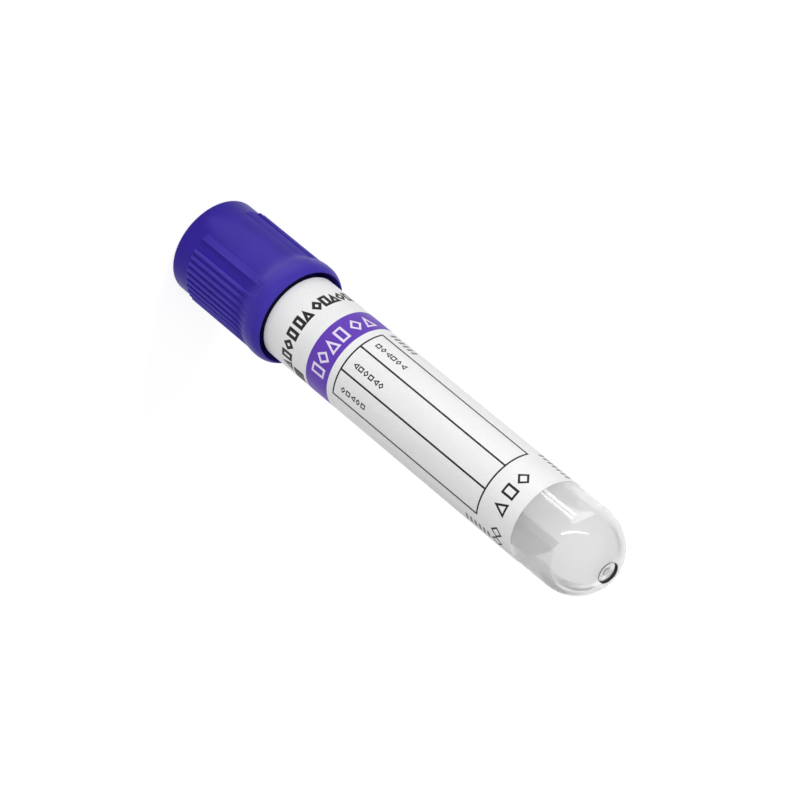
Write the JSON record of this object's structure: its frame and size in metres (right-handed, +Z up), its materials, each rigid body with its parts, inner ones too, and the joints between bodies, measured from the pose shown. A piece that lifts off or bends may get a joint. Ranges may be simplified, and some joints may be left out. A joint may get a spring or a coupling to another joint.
{
  "type": "blood collection tube",
  "caption": "Clear round-bottomed vacuum tube with a printed label and a ribbed purple safety closure over a rubber stopper.",
  "frame": {"origin": "on the tube's axis, at the flat top of the closure, on which it stands", "axes": "+Z up the tube's axis to its round bottom; the label's printed side faces -Y. The tube stands upside down, because on its side it would roll"},
  "size_m": [0.0162, 0.0162, 0.0858],
  "materials": {
    "clear_tube": "clear polished moulding",
    "label_film": "white satin film, printed in violet and black",
    "stopper_rubber": "smooth dark moulded rubber",
    "purple_shield": "satin moulding with fine grip ribs"
  },
  "bodies": {
    "shield": {"cap_shield": "purple_shield"},
    "stopper": {"rubber_stopper": "stopper_rubber"},
    "tube": {"tube_body": "clear_tube", "label": "label_film"}
  },
  "joints": [
    {"name": "closure_twist", "type": "hinge", "parent": "shield", "child": "stopper", "pos_m": [0, 0, 0.011], "axis": [0, 0, 1], "continuous": true},
    {"name": "tube_pull", "type": "slide", "parent": "stopper", "child": "tube", "axis": [0, 0, 1], "range_m": [0, 0.025]}
  ]
}
